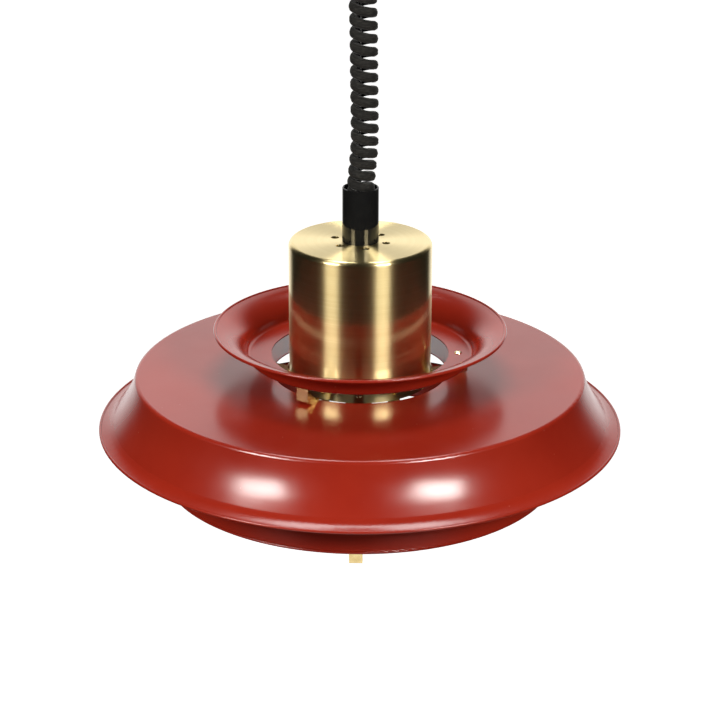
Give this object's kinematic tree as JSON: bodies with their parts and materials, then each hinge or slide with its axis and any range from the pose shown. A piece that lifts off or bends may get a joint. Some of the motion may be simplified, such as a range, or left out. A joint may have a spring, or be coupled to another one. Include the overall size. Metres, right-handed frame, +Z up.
{
  "type": "rise-and-fall pendant lamp",
  "caption": "Pendant lamp with a flared three-tier shade around a brass cylinder, hung on a coiled cord from a spring reel in a round ceiling canopy.",
  "frame": {"origin": "centre of the mounting plate's upper face, which lies against the ceiling", "axes": "+Z up along the lamp's axis into the ceiling, -Y towards the front, +X to the right"},
  "size_m": [0.45, 0.45, 0.5585],
  "materials": {
    "red_lacquer": "satin red lacquer",
    "brushed_brass": "brushed and lacquered",
    "strip_brass": "bright rolled strip",
    "rivet_brass": "bright",
    "black_sleeve": "glossy black",
    "black_canopy": "satin black",
    "zinc_steel": "zinc plated",
    "wire_steel": "stranded wire",
    "spring_steel": "blued strip",
    "braided_cord": "black textile braid",
    "inner_flex": "plain flex",
    "bakelite": "moulded bakelite",
    "porcelain": "glazed ceramic",
    "plated_copper": "plated sheet",
    "opal_glass": "opal",
    "bulb_metal": "rolled thread",
    "reel_nylon": "moulded nylon"
  },
  "bodies": {
    "root": {"mounting_plate": "zinc_steel", "canopy": "black_canopy", "reel_frame": "zinc_steel", "frame_screws": "zinc_steel", "collar_nipple": "zinc_steel", "frame_nut": "zinc_steel", "collar_nut": "zinc_steel", "ceiling_collar": "black_sleeve", "reel_axle": "zinc_steel", "axle_clips": "spring_steel", "spring_arbor": "zinc_steel", "terminal_block": "porcelain", "terminal_screws": "plated_copper", "ceiling_flex": "inner_flex"},
    "reel": {"reel_drum": "reel_nylon", "reel_cover": "reel_nylon", "power_spring": "spring_steel", "wound_wire": "wire_steel"},
    "lamp": {"brass_cylinder": "brushed_brass", "bulb_cap": "bulb_metal", "bulb_contact": "bulb_metal", "bulb_glass": "opal_glass", "coil_cord": "braided_cord", "cord_sleeve": "black_sleeve", "cylinder_nut": "zinc_steel", "cylinder_rivets": "rivet_brass", "dish_bracket_1": "strip_brass", "dish_bracket_2": "strip_brass", "dish_bracket_3": "strip_brass", "dish_rivets": "rivet_brass", "hanger_rivets": "rivet_brass", "lamp_flex": "inner_flex", "lift_wire": "wire_steel", "lower_ring": "red_lacquer", "main_shade": "red_lacquer", "ring_hanger_1": "strip_brass", "ring_hanger_2": "strip_brass", "ring_hanger_3": "strip_brass", "ring_rivets": "rivet_brass", "shade_rivets": "rivet_brass", "shade_stay_1": "strip_brass", "shade_stay_2": "strip_brass", "shade_stay_3": "strip_brass", "sleeve_nut": "zinc_steel", "socket_body": "porcelain", "socket_cap": "bakelite", "socket_contact": "plated_copper", "socket_shell": "plated_copper", "stay_studs": "rivet_brass", "threaded_nipple": "zinc_steel", "upper_dish": "red_lacquer", "wire_ferrule": "zinc_steel", "wire_yoke": "zinc_steel"}
  },
  "joints": [
    {"name": "rise_and_fall", "type": "slide", "parent": "root", "child": "lamp", "axis": [0, 0, -1], "range_m": [-0.03, 0.4], "deforming": ["coil_cord", "lift_wire"]},
    {"name": "reel_turn", "type": "hinge", "parent": "root", "child": "reel", "pos_m": [-0.02, 0, -0.044], "axis": [0, 1, 0], "range_deg": [-90, 1150]}
  ],
  "couplings": [
    {"joint": "reel_turn", "follows": "rise_and_fall", "rad_per_m": 50}
  ]
}
